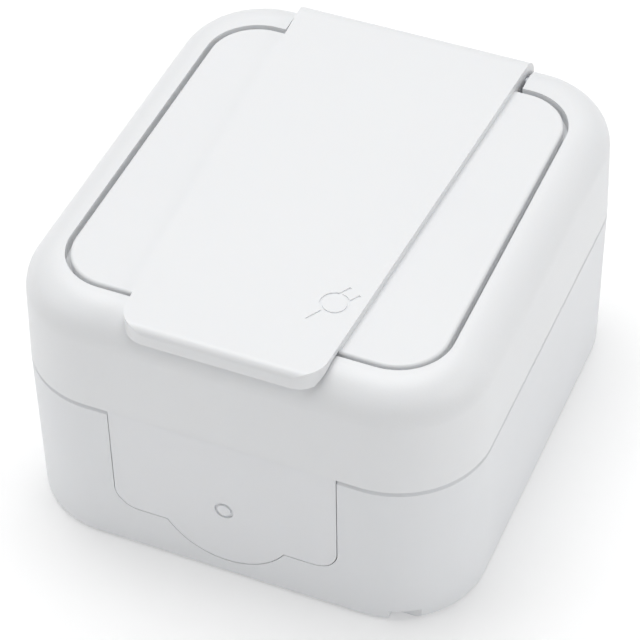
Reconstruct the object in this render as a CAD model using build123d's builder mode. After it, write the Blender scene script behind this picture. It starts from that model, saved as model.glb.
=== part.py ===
from build123d import *
import os

os.makedirs("parts", exist_ok=True)

# Surface-mounted earthed socket with a sprung lid, lying on its back.
# Millimetres. Origin at the centre of the back face, +Z out of the wall, +Y towards the hinge.

# Housing
width = 75.0
height = 83.0
corner_radius = 15.0
base_height = 29.4
cover_top = 48.0
cover_draft = 2.0
crown_radius = 6.0
foot_radius = 1.0
rim_chamfer = 0.8
wall = 3.0
back_thickness = 2.4
notch_x = 29.4
notch_width = 5.2
notch_height = 2.2

# Seal between base and cover
seal_inset = 0.9
seal_width = 1.2
seal_depth = 1.0

# Cable entry in the front wall
entry_half_width = 18.8
entry_bottom = 8.6
entry_corner = 4.0
entry_centre_z = 14.7
entry_circle_radius = 11.6
entry_clearance = 0.15
entry_flange = 1.5
entry_flange_thickness = 1.2
dimple_radius = 1.6
dimple_ring = 0.5
dimple_depth = 0.4

# Fixing to the wall
fixing_pitch = 60.0
fixing_hole_radius = 2.2

# Contact carrier
carrier_bottom = 8.0
carrier_top = 26.0
carrier_x = 42.0
carrier_y = 34.0
carrier_corner = 4.0
pocket_floor = 12.0
part_clearance = 0.3
bearing_clearance = 0.05

# Contacts and terminals
pin_pitch = 19.0
sleeve_radius = 3.2
sleeve_bore = 2.45
sleeve_height = 13.2
sleeve_slit = 0.8
link_width = 5.0
link_thickness = 1.0
terminal_x = 17.4
terminal_size_x = 6.0
terminal_size_y = 8.0
terminal_height = 8.0
wire_hole_radius = 1.5
wire_hole_height = 3.2

# Earth strap
strap_thickness = 0.8
strap_width = 6.0
strap_channel = 1.0
arm_y = 18.0
arm_height = 16.0
arm_nose = 1.0
arm_nose_height = 3.0
ear_length = 30.0
ear_screw_y = 26.4
clamp_size = 6.6
clamp_thickness = 2.0
clamp_gap = 1.0

# Socket well
well_radius = 19.6
well_outer = 22.2
well_depth = 16.1
floor_thickness = 2.2
key_depth = 2.2
key_width = 5.6
pin_hole_radius = 3.0

# Screws
boss_radius = 3.6
cover_screw_x = 25.5
cover_screw_y = 27.5
cover_screw_radius = 1.6
cover_screw_head = 3.0
cover_screw_length = 30.0
carrier_screw_x = 15.0
carrier_screw_y = 12.0
carrier_screw_radius = 1.7
carrier_screw_head = 2.8
carrier_screw_head_height = 1.8
carrier_screw_length = 10.0
carrier_seat = 14.0
small_screw_radius = 1.5
small_screw_head = 2.3
small_screw_head_height = 1.6
centre_screw_length = 8.0
slot_width = 0.8
slot_depth = 0.7

# Lid
lid_gap = 0.8
wing_half_width = 30.2
wing_front_inset = 7.7
wing_back_inset = 9.8
wing_corner = 8.0
wing_thickness = 2.0
wing_edge = 0.5
band_thickness = 3.4
band_half_hinge = 20.2
band_half_front = 15.8
tab_overhang = 0.2
band_corner = 4.5
band_nose_radius = 1.2
tab_height = 3.0
tab_gap = 0.4
relief_x = 28.0
relief_y = 26.0
relief_depth = 1.6
plate_thickness = 2.2
lid_seal_inner = 20.2
lid_seal_outer = 22.0
lid_seal_height = 1.4

# Hinge
hinge_inset = 5.2
barrel_radius = 3.4
barrel_clearance = 0.5
pin_radius = 1.2
pin_seat = 3.5
trough_wall = 1.6
spring_half_length = 4.2
spring_radius = 1.8
spring_wire = 0.3
spring_pitch = 1.4
spring_chamber_radius = 2.5

# Plug sign pressed into the lid
sign_x = 12.3
sign_y = -26.0
sign_angle = 60.0
sign_radius = 2.3
sign_line = 0.45
sign_depth = 0.2
sign_prong = 2.3
sign_prong_y = 1.1
sign_tail = 3.2

# Derived places
lid_bottom = cover_top - wing_thickness
recess_floor = lid_bottom - part_clearance
hollow_top = recess_floor - plate_thickness
hinge_y = height / 2 - hinge_inset
hinge_z = lid_bottom
band_front = -height / 2 - tab_overhang
band_top = lid_bottom + band_thickness
seal_bottom = lid_bottom - lid_seal_height
well_top = seal_bottom - part_clearance
well_floor = carrier_top + floor_thickness
strap_floor = carrier_top - strap_channel
wing_front = wing_front_inset - height / 2
wing_back = height / 2 - wing_back_inset
wing_length = wing_back - wing_front
wing_centre_y = (wing_back + wing_front) / 2
contact_places = (-pin_pitch / 2, pin_pitch / 2)
cover_screw_places = ((-cover_screw_x, -cover_screw_y), (cover_screw_x, cover_screw_y))
carrier_screw_places = ((-carrier_screw_x, -carrier_screw_y), (carrier_screw_x, carrier_screw_y))
front_plane = Plane.XZ.offset(height / 2)
pocket_half_width = band_half_hinge + barrel_clearance
trough_floor = hinge_z - barrel_radius - barrel_clearance
crown_y = -(height / 2 - crown_radius)
crown_z = cover_top - crown_radius
sign_prong_start = (sign_radius**2 - sign_prong_y**2) ** 0.5 - sign_line


def entry_outline(grow):
    """Outline of the cable entry, open at the rim, grown by a distance."""
    half = entry_half_width + grow
    bottom = entry_bottom - grow
    with BuildSketch() as outline:
        with Locations((0, (base_height + bottom) / 2)):
            Rectangle(2 * half, base_height - bottom)
        fillet(outline.vertices().group_by(Axis.Y)[0], entry_corner + grow)
        with Locations((0, entry_centre_z)):
            Circle(entry_circle_radius + grow)
    return outline.sketch


def cheese_screw(radius, length, head_radius, head_height, seat):
    """A slotted cheese-head screw on the Z axis, its head resting at the seat height."""
    with BuildPart() as screw:
        with BuildSketch(Plane.XY.offset(seat - length)):
            Circle(radius)
        extrude(amount=length)
        with BuildSketch(Plane.XY.offset(seat)):
            Circle(head_radius)
        extrude(amount=head_height)
        with BuildSketch(Plane.XY.offset(seat + head_height)):
            Rectangle(2 * head_radius, slot_width)
        extrude(amount=-slot_depth, mode=Mode.SUBTRACT)
    return screw.part


def contact(side):
    """A sleeve contact with its link and terminal block, on the given side of the centre."""
    sleeve_x = side * pin_pitch / 2
    block_x = side * terminal_x
    block_top = pocket_floor + terminal_height
    with BuildPart() as piece:
        with BuildSketch(Plane.XY.offset(pocket_floor)):
            with Locations((sleeve_x, 0)):
                Circle(sleeve_radius)
            with Locations(((sleeve_x + block_x) / 2, 0)):
                Rectangle(terminal_x - pin_pitch / 2, link_width)
        extrude(amount=link_thickness)
        with BuildSketch(Plane.XY.offset(pocket_floor + link_thickness)):
            with Locations((sleeve_x, 0)):
                Circle(sleeve_radius)
                Circle(sleeve_bore, mode=Mode.SUBTRACT)
                Rectangle(2 * sleeve_radius, sleeve_slit, mode=Mode.SUBTRACT)
        extrude(amount=sleeve_height - link_thickness)
        with BuildSketch(Plane.XY.offset(pocket_floor)):
            with Locations((block_x, 0)):
                Rectangle(terminal_size_x, terminal_size_y)
        extrude(amount=terminal_height)
        with BuildSketch(Plane.XY.offset(block_top)):
            with Locations((block_x, 0)):
                Circle(small_screw_radius + bearing_clearance)
        extrude(amount=wire_hole_height - terminal_height, mode=Mode.SUBTRACT)
        with BuildSketch(Plane.YZ.offset(block_x)):
            with Locations((0, pocket_floor + wire_hole_height)):
                Circle(wire_hole_radius)
        extrude(amount=side * terminal_size_x / 2, mode=Mode.SUBTRACT)
    return piece.part


# Groove and seal around the rim
with BuildPart() as rim_seal:
    with BuildSketch(Plane.XY.offset(base_height - seal_depth)):
        RectangleRounded(width - 2 * seal_inset, height - 2 * seal_inset, corner_radius - seal_inset)
        RectangleRounded(
            width - 2 * (seal_inset + seal_width),
            height - 2 * (seal_inset + seal_width),
            corner_radius - seal_inset - seal_width,
            mode=Mode.SUBTRACT,
        )
    extrude(amount=seal_depth)
rim_seal.part.label = "rim_seal"
export_step(rim_seal.part, "parts/rim_seal.step")

# Base: an open box that screws to the wall
with BuildPart() as base:
    with BuildSketch():
        RectangleRounded(width, height, corner_radius)
    extrude(amount=base_height)
    fillet(base.edges().group_by(Axis.Z)[0], foot_radius)
    chamfer(base.edges().group_by(Axis.Z)[-1], rim_chamfer)
    with BuildSketch(Plane.XY.offset(back_thickness)):
        RectangleRounded(width - 2 * wall, height - 2 * wall, corner_radius - wall)
    extrude(amount=base_height - back_thickness, mode=Mode.SUBTRACT)
    with BuildSketch(Plane.XY.offset(back_thickness)):
        with Locations(*cover_screw_places):
            Circle(boss_radius)
    extrude(amount=base_height - back_thickness)
    with BuildSketch(Plane.XY.offset(back_thickness)):
        with Locations(*carrier_screw_places):
            Circle(boss_radius)
    extrude(amount=carrier_bottom - back_thickness)
    with BuildSketch(Plane.XY.offset(base_height)):
        with Locations(*cover_screw_places):
            Circle(cover_screw_radius + bearing_clearance)
    extrude(amount=back_thickness - base_height, mode=Mode.SUBTRACT)
    with BuildSketch(Plane.XY.offset(carrier_bottom)):
        with Locations(*carrier_screw_places):
            Circle(carrier_screw_radius + bearing_clearance)
    extrude(amount=back_thickness - carrier_bottom, mode=Mode.SUBTRACT)
    with BuildSketch():
        with Locations((0, fixing_pitch / 2), (0, -fixing_pitch / 2)):
            Circle(fixing_hole_radius)
    extrude(amount=back_thickness, mode=Mode.SUBTRACT)
    with BuildSketch(front_plane):
        add(entry_outline(0))
    extrude(amount=-wall, mode=Mode.SUBTRACT)
    with BuildSketch(front_plane):
        with Locations((notch_x, notch_height / 2)):
            Rectangle(notch_width, notch_height)
    extrude(amount=-wall, mode=Mode.SUBTRACT)
    add(rim_seal.part, mode=Mode.SUBTRACT)
base.part.label = "base"
export_step(base.part, "parts/base.step")

# Cable entry: a plate that slides into the front wall from above
with BuildPart() as cable_entry:
    with BuildSketch(front_plane):
        add(entry_outline(-entry_clearance))
    extrude(amount=-wall - entry_clearance)
    with BuildSketch(front_plane.offset(-wall - entry_clearance)):
        add(entry_outline(entry_flange))
    extrude(amount=-entry_flange_thickness)
    split(bisect_by=Plane.XY.offset(back_thickness + entry_clearance), keep=Keep.TOP)
    with BuildSketch(front_plane):
        with Locations((0, entry_centre_z)):
            Circle(dimple_radius)
            Circle(dimple_radius - dimple_ring, mode=Mode.SUBTRACT)
    extrude(amount=-dimple_depth, mode=Mode.SUBTRACT)
    add(rim_seal.part, mode=Mode.SUBTRACT)
cable_entry.part.label = "cable_entry"
export_step(cable_entry.part, "parts/cable_entry.step")

# Carrier: the insulating block that holds the contacts
pocket_radius = sleeve_radius + part_clearance
terminal_pocket_in = terminal_x - terminal_size_x / 2 - part_clearance
terminal_pocket_out = carrier_x / 2
with BuildPart() as contact_carrier:
    with BuildSketch(Plane.XY.offset(carrier_bottom)):
        RectangleRounded(carrier_x, carrier_y, carrier_corner)
    extrude(amount=carrier_top - carrier_bottom)
    with BuildSketch(Plane.XY.offset(carrier_top)):
        for side in (-1, 1):
            with Locations((side * pin_pitch / 2, 0)):
                Circle(pocket_radius)
            with Locations((side * (pin_pitch / 2 + terminal_pocket_in) / 2, 0)):
                Rectangle(terminal_pocket_in - pin_pitch / 2, link_width + 2 * part_clearance)
            with Locations((side * (terminal_pocket_in + terminal_pocket_out) / 2, 0)):
                Rectangle(terminal_pocket_out - terminal_pocket_in, terminal_size_y + 2 * part_clearance)
    extrude(amount=pocket_floor - carrier_top, mode=Mode.SUBTRACT)
    with BuildSketch(Plane.XY.offset(carrier_top)):
        Rectangle(strap_width + 2 * part_clearance, carrier_y)
    extrude(amount=-strap_channel, mode=Mode.SUBTRACT)
    with BuildSketch(Plane.XY.offset(carrier_top)):
        with Locations(*carrier_screw_places):
            Circle(carrier_screw_head + part_clearance)
    extrude(amount=carrier_seat - carrier_top, mode=Mode.SUBTRACT)
    with BuildSketch(Plane.XY.offset(carrier_seat)):
        with Locations(*carrier_screw_places):
            Circle(carrier_screw_radius + part_clearance)
    extrude(amount=carrier_bottom - carrier_seat, mode=Mode.SUBTRACT)
    with BuildSketch(Plane.XY.offset(carrier_top)):
        Circle(small_screw_radius + bearing_clearance)
    extrude(amount=-centre_screw_length, mode=Mode.SUBTRACT)
contact_carrier.part.label = "contact_carrier"
export_step(contact_carrier.part, "parts/contact_carrier.step")

# Contacts
live_contact = contact(-1)
live_contact.label = "live_contact"
export_step(live_contact, "parts/live_contact.step")

neutral_contact = contact(1)
neutral_contact.label = "neutral_contact"
export_step(neutral_contact, "parts/neutral_contact.step")

# Earth strap: crosses the carrier, with an arm at each side of the well and an ear for its wire
with BuildPart() as earth_strap:
    with BuildSketch(Plane.XY.offset(strap_floor)):
        with Locations((0, (ear_length - arm_y) / 2)):
            Rectangle(strap_width, ear_length + arm_y)
        Circle(small_screw_radius + part_clearance, mode=Mode.SUBTRACT)
        with Locations((0, ear_screw_y)):
            Circle(small_screw_radius + part_clearance, mode=Mode.SUBTRACT)
    extrude(amount=strap_thickness)
    with BuildSketch(Plane.XY.offset(strap_floor)):
        with Locations((0, arm_y - strap_thickness / 2), (0, strap_thickness / 2 - arm_y)):
            Rectangle(strap_width, strap_thickness)
    extrude(amount=arm_height)
    with BuildSketch(Plane.YZ.offset(-strap_width / 2)):
        nose_inner = arm_y - strap_thickness
        nose_middle = strap_floor + arm_height - arm_nose_height
        for side in (-1, 1):
            with BuildLine():
                Polyline(
                    (side * nose_inner, nose_middle - arm_nose_height),
                    (side * (nose_inner - arm_nose), nose_middle),
                    (side * nose_inner, nose_middle + arm_nose_height),
                    close=True,
                )
            make_face()
    extrude(amount=strap_width)
earth_strap.part.label = "earth_strap"
export_step(earth_strap.part, "parts/earth_strap.step")

# Clamp plate that holds the earth wire under the ear
with BuildPart() as earth_clamp:
    with BuildSketch(Plane.XY.offset(strap_floor - clamp_gap)):
        with Locations((0, ear_screw_y)):
            Rectangle(clamp_size, clamp_size)
            Circle(small_screw_radius + bearing_clearance, mode=Mode.SUBTRACT)
    extrude(amount=-clamp_thickness)
earth_clamp.part.label = "earth_clamp"
export_step(earth_clamp.part, "parts/earth_clamp.step")

# Socket well: the round cup that a plug enters
with BuildPart() as socket_well:
    with BuildSketch(Plane.XY.offset(carrier_top)):
        Circle(well_outer)
    extrude(amount=well_top - carrier_top)
    with BuildSketch(Plane.XY.offset(well_floor)):
        Circle(well_radius)
        with Locations((well_radius, 0), (-well_radius, 0)):
            Rectangle(2 * key_depth, key_width, mode=Mode.SUBTRACT)
    extrude(amount=well_depth, mode=Mode.SUBTRACT)
    with BuildSketch(Plane.XY.offset(carrier_top)):
        with Locations(*[(place, 0) for place in contact_places]):
            Circle(pin_hole_radius)
        Circle(small_screw_radius + part_clearance)
        with Locations((0, arm_y - strap_thickness / 2), (0, strap_thickness / 2 - arm_y)):
            Rectangle(strap_width + 2 * part_clearance, strap_thickness + 2 * part_clearance)
    extrude(amount=floor_thickness, mode=Mode.SUBTRACT)
socket_well.part.label = "socket_well"
export_step(socket_well.part, "parts/socket_well.step")

# Cover: a shell with a recess for the lid, a hole for the well and a trough for the hinge
with BuildPart() as cover:
    with BuildSketch(Plane.XY.offset(base_height)):
        RectangleRounded(width, height, corner_radius)
    extrude(amount=cover_top - base_height, taper=cover_draft)
    fillet(cover.edges().group_by(Axis.Z)[-1], crown_radius)
    with BuildSketch(Plane.XY.offset(base_height)):
        RectangleRounded(width - 2 * wall, height - 2 * wall, corner_radius - wall)
    extrude(amount=hollow_top - base_height, taper=cover_draft, mode=Mode.SUBTRACT)
    with BuildSketch(Plane.XY.offset(base_height)):
        with Locations(*cover_screw_places):
            Circle(boss_radius)
    extrude(amount=hollow_top - base_height)
    trough_front = hinge_y - barrel_radius - barrel_clearance
    with BuildSketch(Plane.XY.offset(trough_floor - trough_wall)):
        with Locations((0, trough_front - trough_wall)):
            Rectangle(
                2 * (pocket_half_width + trough_wall),
                height / 2 - wall - trough_front + trough_wall,
                align=(Align.CENTER, Align.MIN),
            )
    extrude(amount=hollow_top - trough_floor + trough_wall)
    with BuildSketch(Plane.XY.offset(trough_floor)):
        with Locations((0, trough_front)):
            Rectangle(2 * pocket_half_width, height / 2, align=(Align.CENTER, Align.MIN))
    extrude(amount=cover_top - trough_floor, mode=Mode.SUBTRACT)
    with BuildSketch(Plane.XY.offset(recess_floor)):
        with Locations((0, wing_centre_y)):
            RectangleRounded(
                2 * (wing_half_width + lid_gap), wing_length + 2 * lid_gap, wing_corner + lid_gap
            )
    extrude(amount=cover_top - recess_floor, mode=Mode.SUBTRACT)
    with BuildSketch(Plane.XY.offset(hollow_top)):
        Circle(well_outer + part_clearance)
    extrude(amount=plate_thickness, mode=Mode.SUBTRACT)
    with Locations(*[(x, y, recess_floor) for x, y in cover_screw_places]):
        CounterSinkHole(
            radius=cover_screw_radius + part_clearance,
            counter_sink_radius=cover_screw_head + part_clearance,
            depth=recess_floor - base_height,
        )
    with BuildSketch(Plane.YZ.offset(-pocket_half_width - pin_seat)):
        with Locations((hinge_y, hinge_z)):
            Circle(pin_radius + bearing_clearance)
    extrude(amount=2 * (pocket_half_width + pin_seat), mode=Mode.SUBTRACT)
cover.part.label = "cover"
export_step(cover.part, "parts/cover.step")

# Hinge pin
with BuildPart() as hinge_pin:
    with BuildSketch(Plane.YZ.offset(-pocket_half_width - pin_seat)):
        with Locations((hinge_y, hinge_z)):
            Circle(pin_radius)
    extrude(amount=2 * (pocket_half_width + pin_seat))
hinge_pin.part.label = "hinge_pin"
export_step(hinge_pin.part, "parts/hinge_pin.step")

# Lid spring: a coil around the pin, inside the barrel
with BuildPart() as lid_spring:
    with BuildLine():
        coil = Helix(
            pitch=spring_pitch,
            height=2 * (spring_half_length - spring_wire),
            radius=spring_radius,
            center=(spring_wire - spring_half_length, hinge_y, hinge_z),
            direction=(1, 0, 0),
        )
    with BuildSketch(Plane(origin=coil @ 0, z_dir=coil % 0)):
        Circle(spring_wire)
    sweep(path=coil, is_frenet=True)
lid_spring.part.label = "lid_spring"
export_step(lid_spring.part, "parts/lid_spring.step")

# Lid band: profile seen from the side, with a tab that reaches over the crown
tab_bottom = band_top - tab_height
tab_arc = crown_radius + tab_gap
tab_arc_y = crown_y - (tab_arc**2 - (tab_bottom - crown_z) ** 2) ** 0.5
with BuildPart() as band:
    with BuildSketch(Plane.YZ.offset(-band_half_hinge)):
        with BuildLine():
            Polyline(
                (crown_y, crown_z + tab_arc),
                (wing_front, crown_z + tab_arc),
                (wing_front, lid_bottom),
                (hinge_y, lid_bottom),
                (hinge_y, band_top),
                (band_front + band_nose_radius, band_top),
            )
            RadiusArc(
                (band_front + band_nose_radius, band_top),
                (band_front, band_top - band_nose_radius),
                -band_nose_radius,
            )
            Polyline(
                (band_front, band_top - band_nose_radius),
                (band_front, tab_bottom),
                (tab_arc_y, tab_bottom),
            )
            RadiusArc((tab_arc_y, tab_bottom), (crown_y, crown_z + tab_arc), tab_arc)
        make_face()
        with Locations((hinge_y, hinge_z)):
            Circle(barrel_radius)
    extrude(amount=2 * band_half_hinge)
    with BuildSketch(Plane.XY.offset(hinge_z - barrel_radius)) as band_plan:
        Polygon(
            (-band_half_hinge, hinge_y + barrel_radius),
            (band_half_hinge, hinge_y + barrel_radius),
            (band_half_front, band_front),
            (-band_half_front, band_front),
            align=None,
        )
        fillet(band_plan.vertices().group_by(Axis.Y)[0], band_corner)
    extrude(amount=barrel_radius + band_thickness, mode=Mode.INTERSECT)

# Lid: the band and its two wings, moulded as one
with BuildPart() as lid:
    with BuildSketch(Plane.XY.offset(lid_bottom)):
        with Locations((0, wing_centre_y)):
            RectangleRounded(2 * wing_half_width, wing_length, wing_corner)
    extrude(amount=wing_thickness)
    fillet(lid.edges().group_by(Axis.Z)[-1], wing_edge)
    add(band.part)
    with BuildSketch(Plane.XY.offset(lid_bottom)):
        Rectangle(relief_x, relief_y)
    extrude(amount=relief_depth, mode=Mode.SUBTRACT)
    with BuildSketch(Plane.YZ.offset(-band_half_hinge)):
        with Locations((hinge_y, hinge_z)):
            Circle(pin_radius + bearing_clearance)
    extrude(amount=2 * band_half_hinge, mode=Mode.SUBTRACT)
    with BuildSketch(Plane.YZ.offset(-spring_half_length - part_clearance)):
        with Locations((hinge_y, hinge_z)):
            Circle(spring_chamber_radius)
    extrude(amount=2 * (spring_half_length + part_clearance), mode=Mode.SUBTRACT)
    with BuildSketch(Plane.XY.offset(band_top).move(Location((sign_x, sign_y), (0, 0, sign_angle)))):
        Circle(sign_radius)
        Circle(sign_radius - sign_line, mode=Mode.SUBTRACT)
        with Locations((sign_prong_start, sign_prong_y), (sign_prong_start, -sign_prong_y)):
            Rectangle(sign_prong, sign_line, align=(Align.MIN, Align.CENTER))
        with Locations((sign_line / 2 - sign_radius, 0)):
            Rectangle(sign_tail, sign_line, align=(Align.MAX, Align.CENTER))
    extrude(amount=-sign_depth, mode=Mode.SUBTRACT)
lid.part.label = "lid"
export_step(lid.part, "parts/lid.step")

# Lid seal: a rubber ring that closes on the well
with BuildPart() as lid_seal:
    with BuildSketch(Plane.XY.offset(seal_bottom)):
        Circle(lid_seal_outer)
        Circle(lid_seal_inner, mode=Mode.SUBTRACT)
    extrude(amount=lid_seal_height)
lid_seal.part.label = "lid_seal"
export_step(lid_seal.part, "parts/lid_seal.step")

# Screws
carrier_screw = cheese_screw(
    carrier_screw_radius, carrier_screw_length, carrier_screw_head, carrier_screw_head_height, carrier_seat
)
terminal_screw = cheese_screw(
    small_screw_radius,
    terminal_height - wire_hole_height - wire_hole_radius,
    small_screw_head,
    small_screw_head_height,
    pocket_floor + terminal_height,
)
ear_screw = cheese_screw(
    small_screw_radius,
    strap_thickness + clamp_gap + clamp_thickness,
    small_screw_head,
    small_screw_head_height,
    strap_floor + strap_thickness,
)
centre_screw = cheese_screw(
    small_screw_radius, centre_screw_length, small_screw_head, small_screw_head_height, well_floor
)

with BuildPart() as cover_screw:
    with BuildSketch(Plane.XZ):
        with BuildLine():
            Polyline(
                (0, recess_floor - cover_screw_length),
                (cover_screw_radius, recess_floor - cover_screw_length),
                (cover_screw_radius, recess_floor + cover_screw_radius - cover_screw_head),
                (cover_screw_head, recess_floor),
                (0, recess_floor),
                close=True,
            )
        make_face()
    revolve(axis=Axis.Z)
    with BuildSketch(Plane.XY.offset(recess_floor)):
        Rectangle(2 * cover_screw_head, slot_width)
    extrude(amount=-slot_depth, mode=Mode.SUBTRACT)

with BuildPart() as cover_screws:
    with Locations(*cover_screw_places):
        add(cover_screw.part)
cover_screws.part.label = "cover_screws"
export_step(cover_screws.part, "parts/cover_screws.step")

with BuildPart() as carrier_screws:
    with Locations(*carrier_screw_places):
        add(carrier_screw)
carrier_screws.part.label = "carrier_screws"
export_step(carrier_screws.part, "parts/carrier_screws.step")

with BuildPart() as terminal_screws:
    with Locations((-terminal_x, 0), (terminal_x, 0)):
        add(terminal_screw)
terminal_screws.part.label = "terminal_screws"
export_step(terminal_screws.part, "parts/terminal_screws.step")

with BuildPart() as earth_screw:
    with Locations((0, ear_screw_y)):
        add(ear_screw)
earth_screw.part.label = "earth_screw"
export_step(earth_screw.part, "parts/earth_screw.step")

centre_screw.label = "centre_screw"
export_step(centre_screw, "parts/centre_screw.step")
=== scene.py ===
"""Looks of a surface-mounted earthed socket: finishes, studio light, floor and camera.

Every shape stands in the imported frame. This script gives each piece a procedural finish on
its Object coordinates and sets the stage at the photograph's angle. Lengths are in metres.
"""

import logging
import math
from dataclasses import dataclass
from enum import Enum

import bpy
from mathutils import Matrix, Vector


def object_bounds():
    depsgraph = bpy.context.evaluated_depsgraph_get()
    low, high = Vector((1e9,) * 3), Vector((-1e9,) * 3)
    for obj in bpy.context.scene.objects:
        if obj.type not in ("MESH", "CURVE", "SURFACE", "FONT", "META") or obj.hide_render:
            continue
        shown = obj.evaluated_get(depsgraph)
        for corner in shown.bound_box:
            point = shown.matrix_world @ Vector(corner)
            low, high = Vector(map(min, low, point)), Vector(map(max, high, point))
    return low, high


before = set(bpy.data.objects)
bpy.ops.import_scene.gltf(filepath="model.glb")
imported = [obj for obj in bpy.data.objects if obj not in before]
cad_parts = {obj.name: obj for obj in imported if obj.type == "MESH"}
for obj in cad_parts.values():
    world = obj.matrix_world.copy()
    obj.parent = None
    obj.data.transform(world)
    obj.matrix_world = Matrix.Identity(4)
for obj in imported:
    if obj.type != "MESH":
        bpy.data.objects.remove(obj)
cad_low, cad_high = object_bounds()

logging.basicConfig(level=logging.INFO, format="%(message)s")
log = logging.getLogger("socket")

Colour = tuple[float, float, float, float]


class Kind(Enum):
    """How a finish is made."""

    MOULDED = "moulded"
    RUBBER = "rubber"
    METAL = "metal"


@dataclass(frozen=True)
class Finish:
    """A procedural finish.

    Args:
        name: The material's name.
        kind: How the finish is made.
        colour: Main colour, linear.
        shade: Second colour, that the tone drifts to, linear.
        roughness: Lowest roughness.
        roughness_spread: How much rougher the roughest patches are.
        grain: Noise scale of the surface grain, per metre.
        bump: Strength of the grain's bump.
        scatter: Weight of the light that passes under the surface.
    """

    name: str
    kind: Kind
    colour: Colour
    shade: Colour
    roughness: float
    roughness_spread: float
    grain: float
    bump: float
    scatter: float = 0.0


WHITE_COVER = Finish(
    name="white_cover",
    kind=Kind.MOULDED,
    colour=(0.87, 0.88, 0.89, 1.0),
    shade=(0.84, 0.85, 0.865, 1.0),
    roughness=0.34,
    roughness_spread=0.10,
    grain=2600.0,
    bump=0.05,
    scatter=0.12,
)
WHITE_BODY = Finish(
    name="white_body",
    kind=Kind.MOULDED,
    colour=(0.85, 0.86, 0.875, 1.0),
    shade=(0.81, 0.825, 0.845, 1.0),
    roughness=0.38,
    roughness_spread=0.12,
    grain=2600.0,
    bump=0.06,
    scatter=0.12,
)
WHITE_ENTRY = Finish(
    name="white_entry",
    kind=Kind.MOULDED,
    colour=(0.86, 0.87, 0.885, 1.0),
    shade=(0.83, 0.84, 0.86, 1.0),
    roughness=0.30,
    roughness_spread=0.08,
    grain=2000.0,
    bump=0.04,
    scatter=0.18,
)
CARRIER = Finish(
    name="carrier_white",
    kind=Kind.MOULDED,
    colour=(0.72, 0.72, 0.69, 1.0),
    shade=(0.66, 0.66, 0.63, 1.0),
    roughness=0.55,
    roughness_spread=0.15,
    grain=1800.0,
    bump=0.10,
)
SEAL = Finish(
    name="seal_rubber",
    kind=Kind.RUBBER,
    colour=(0.030, 0.031, 0.033, 1.0),
    shade=(0.050, 0.050, 0.052, 1.0),
    roughness=0.65,
    roughness_spread=0.2,
    grain=3200.0,
    bump=0.18,
)
BRASS = Finish(
    name="contact_brass",
    kind=Kind.METAL,
    colour=(0.72, 0.49, 0.20, 1.0),
    shade=(0.60, 0.38, 0.15, 1.0),
    roughness=0.22,
    roughness_spread=0.18,
    grain=1500.0,
    bump=0.05,
)
STEEL = Finish(
    name="plated_steel",
    kind=Kind.METAL,
    colour=(0.66, 0.67, 0.69, 1.0),
    shade=(0.54, 0.56, 0.59, 1.0),
    roughness=0.24,
    roughness_spread=0.2,
    grain=1500.0,
    bump=0.05,
)


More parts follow.
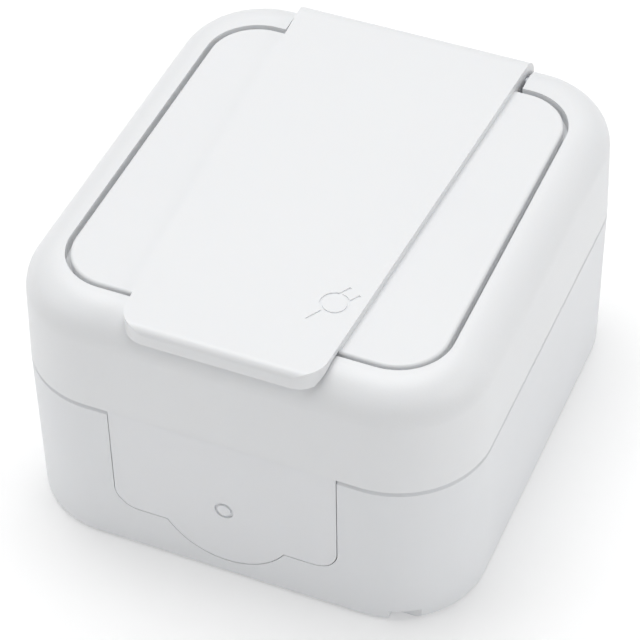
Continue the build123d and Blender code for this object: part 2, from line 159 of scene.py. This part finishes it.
class FinishMaker:
    """Builds one node material for each finish, and shares it between the nodes.

    Tone drift is broad and faint, roughness follows a finer noise, and the grain is a bump.
    """

    drift_scale: float = 28.0
    drift_detail: float = 3.0
    patch_scale: float = 240.0
    patch_detail: float = 4.0
    grain_detail: float = 2.0
    brush_stretch: tuple[float, float, float] = (1.0, 14.0, 14.0)
    scatter_radius: tuple[float, float, float] = (0.004, 0.0036, 0.0032)
    scatter_scale: float = 0.25
    bump_distance: float = 0.0002

    def __init__(self) -> None:
        """Start with no material made."""
        self.made: dict[str, bpy.types.Material] = {}

    def get(self, finish: Finish) -> bpy.types.Material:
        """Return the finish's material, made on first use.

        Args:
            finish: The finish to make.

        Returns:
            The Blender material.
        """
        if finish.name not in self.made:
            self.made[finish.name] = self._make(finish)
            log.info("finish %s", finish.name)
        return self.made[finish.name]

    def _noise(
        self, tree: bpy.types.NodeTree, vector: bpy.types.NodeSocket, scale: float, detail: float
    ) -> bpy.types.NodeSocket:
        """Add a noise texture on the given coordinates and return its factor.

        Args:
            tree: Node tree of the material.
            vector: Coordinates that the noise is read at.
            scale: Noise scale, per metre.
            detail: Number of octaves.

        Returns:
            The factor output.
        """
        noise = tree.nodes.new("ShaderNodeTexNoise")
        noise.inputs["Scale"].default_value = scale
        noise.inputs["Detail"].default_value = detail
        tree.links.new(vector, noise.inputs["Vector"])
        return noise.outputs["Fac"]

    def _make(self, finish: Finish) -> bpy.types.Material:
        """Build the node tree of a finish.

        Args:
            finish: The finish to make.

        Returns:
            The new material.
        """
        material = bpy.data.materials.new(finish.name)
        material.use_nodes = True
        material.diffuse_color = finish.colour
        tree = material.node_tree
        shader = tree.nodes["Principled BSDF"]
        place = tree.nodes.new("ShaderNodeTexCoord").outputs["Object"]

        tone = tree.nodes.new("ShaderNodeMix")
        tone.data_type = "RGBA"
        tone.inputs["A"].default_value = finish.colour
        tone.inputs["B"].default_value = finish.shade
        tree.links.new(self._noise(tree, place, self.drift_scale, self.drift_detail), tone.inputs["Factor"])
        tree.links.new(tone.outputs["Result"], shader.inputs["Base Color"])

        patches = tree.nodes.new("ShaderNodeMapRange")
        patches.inputs["To Min"].default_value = finish.roughness
        patches.inputs["To Max"].default_value = finish.roughness + finish.roughness_spread
        tree.links.new(self._noise(tree, place, self.patch_scale, self.patch_detail), patches.inputs["Value"])
        tree.links.new(patches.outputs["Result"], shader.inputs["Roughness"])

        grain_place = place
        if finish.kind is Kind.METAL:
            stretch = tree.nodes.new("ShaderNodeMapping")
            stretch.inputs["Scale"].default_value = self.brush_stretch
            tree.links.new(place, stretch.inputs["Vector"])
            grain_place = stretch.outputs["Vector"]
        bump = tree.nodes.new("ShaderNodeBump")
        bump.inputs["Strength"].default_value = finish.bump
        bump.inputs["Distance"].default_value = self.bump_distance
        grain = self._noise(tree, grain_place, finish.grain, self.grain_detail)
        tree.links.new(grain, bump.inputs["Height"])
        tree.links.new(bump.outputs["Normal"], shader.inputs["Normal"])

        shader.inputs["Metallic"].default_value = 1.0 if finish.kind is Kind.METAL else 0.0
        if finish.scatter > 0.0:
            shader.inputs["Subsurface Weight"].default_value = finish.scatter
            shader.inputs["Subsurface Radius"].default_value = self.scatter_radius
            shader.inputs["Subsurface Scale"].default_value = self.scatter_scale
        return material


@dataclass(frozen=True)
class SubAssembly:
    """Pieces that share one finish.

    Args:
        name: What the group is called in the log.
        nodes: Names of the frame's nodes.
        finish: The finish they get.
    """

    name: str
    nodes: tuple[str, ...]
    finish: Finish

    def dress(self, maker: FinishMaker) -> None:
        """Give every node of the group its finish.

        Args:
            maker: Builds and keeps the materials.
        """
        material = maker.get(self.finish)
        for node in self.nodes:
            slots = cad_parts[node].material_slots
            for slot in slots:
                slot.material = material
            log.info("%s: %s, %d slots", self.name, node, len(slots))


GROUPS = (
    SubAssembly("shell", ("cover", "lid"), WHITE_COVER),
    SubAssembly("back box", ("base", "socket_well"), WHITE_BODY),
    SubAssembly("cable entry", ("cable_entry",), WHITE_ENTRY),
    SubAssembly("insulator", ("contact_carrier",), CARRIER),
    SubAssembly("seals", ("rim_seal", "lid_seal"), SEAL),
    SubAssembly("contacts", ("live_contact", "neutral_contact"), BRASS),
    SubAssembly("earthing", ("earth_strap", "earth_clamp", "earth_screw"), STEEL),
    SubAssembly("hinge", ("hinge_pin", "lid_spring"), STEEL),
    SubAssembly("screws", ("cover_screws", "carrier_screws", "terminal_screws", "centre_screw"), STEEL),
)


@dataclass
class Lamp:
    """A soft square lamp aimed at the socket.

    Args:
        name: The lamp's name.
        place: Where it stands.
        size: Edge of its square face.
        power: Light output in watts.
    """

    name: str
    place: tuple[float, float, float]
    size: float
    power: float

    def build(self, aim: Vector) -> bpy.types.Object:
        """Add the lamp.

        Args:
            aim: The point that it faces.

        Returns:
            The lamp object.
        """
        data = bpy.data.lights.new(self.name, "AREA")
        data.shape = "SQUARE"
        data.size = self.size
        data.energy = self.power
        lamp = bpy.data.objects.new(self.name, data)
        lamp.location = self.place
        lamp.rotation_euler = (aim - Vector(self.place)).to_track_quat("-Z", "Y").to_euler()
        bpy.context.scene.collection.objects.link(lamp)
        log.info("lamp %s", self.name)
        return lamp


@dataclass
class Studio:
    """The white floor, the soft lamps and the pale surround of a product photograph."""

    floor_size: float = 6.0
    floor_colour: Colour = (0.97, 0.97, 0.97, 1.0)
    floor_glow: float = 0.12
    floor_roughness: float = 0.9
    surround: Colour = (1.0, 1.0, 1.0, 1.0)
    surround_strength: float = 0.4
    lamps: tuple[Lamp, ...] = (
        Lamp("top_lamp", (-0.10, 0.15, 0.75), 0.6, 3.4),
        Lamp("left_lamp", (-0.60, -0.25, 0.40), 0.4, 0.55),
        Lamp("right_lamp", (0.65, -0.05, 0.35), 0.4, 0.8),
    )

    def build(self) -> None:
        """Build the floor, the surround and the lamps."""
        self._floor()
        self._surround()
        aim = (cad_low + cad_high) / 2
        for lamp in self.lamps:
            lamp.build(aim)

    def _floor(self) -> None:
        """Lay a plain pale floor under the socket."""
        bpy.ops.mesh.primitive_plane_add(size=self.floor_size, location=(0.0, 0.0, cad_low.z))
        floor = bpy.context.object
        floor.name = "floor"
        material = bpy.data.materials.new("floor_paper")
        material.use_nodes = True
        shader = material.node_tree.nodes["Principled BSDF"]
        shader.inputs["Base Color"].default_value = self.floor_colour
        shader.inputs["Roughness"].default_value = self.floor_roughness
        shader.inputs["Emission Color"].default_value = self.floor_colour
        shader.inputs["Emission Strength"].default_value = self.floor_glow
        floor.data.materials.append(material)
        log.info("floor laid")

    def _surround(self) -> None:
        """Light the scene evenly from all round."""
        world = bpy.data.worlds.new("surround")
        world.use_nodes = True
        background = world.node_tree.nodes["Background"]
        background.inputs["Color"].default_value = self.surround
        background.inputs["Strength"].default_value = self.surround_strength
        bpy.context.scene.world = world


@dataclass
class Viewpoint:
    """The photograph's camera, as fitted to the socket's edges."""

    focal_length: float = 142.9
    sensor: float = 36.0
    azimuth: float = math.radians(23.493)
    elevation: float = math.radians(44.359)
    roll: float = math.radians(-1.066)
    distance: float = 0.426045
    target: tuple[float, float, float] = (-0.00474, 0.00771, 0.00917)
    nearest: float = 0.01
    farthest: float = 10.0

    def build(self) -> None:
        """Add the camera and make it the scene's own."""
        data = bpy.data.cameras.new("photo_camera")
        data.lens = self.focal_length
        data.sensor_width = self.sensor
        data.clip_start = self.nearest
        data.clip_end = self.farthest
        camera = bpy.data.objects.new("photo_camera", data)
        flat = math.cos(self.elevation)
        back = Vector(
            (math.sin(self.azimuth) * flat, -math.cos(self.azimuth) * flat, math.sin(self.elevation))
        )
        level = Vector((math.cos(self.azimuth), math.sin(self.azimuth), 0.0))
        upright = back.cross(level)
        right = math.cos(self.roll) * level + math.sin(self.roll) * upright
        up = math.cos(self.roll) * upright - math.sin(self.roll) * level
        turn = Matrix((right, up, back)).transposed()
        place = Vector(self.target) + back * self.distance
        camera.matrix_world = Matrix.Translation(place) @ turn.to_4x4()
        bpy.context.scene.collection.objects.link(camera)
        bpy.context.scene.camera = camera
        log.info("camera at %s", tuple(round(value, 4) for value in place))


def record_sizes() -> None:
    """Log that the frame's box and the visual model's box are not written."""
    log.info("sizes written")


def main() -> None:
    """Set the view tone, then build camera, finishes and studio."""
    bpy.context.scene.view_settings.view_transform = "Standard"
    Viewpoint().build()
    maker = FinishMaker()
    for group in GROUPS:
        group.dress(maker)
    Studio().build()
    record_sizes()


if __name__ == "__main__":
    main()
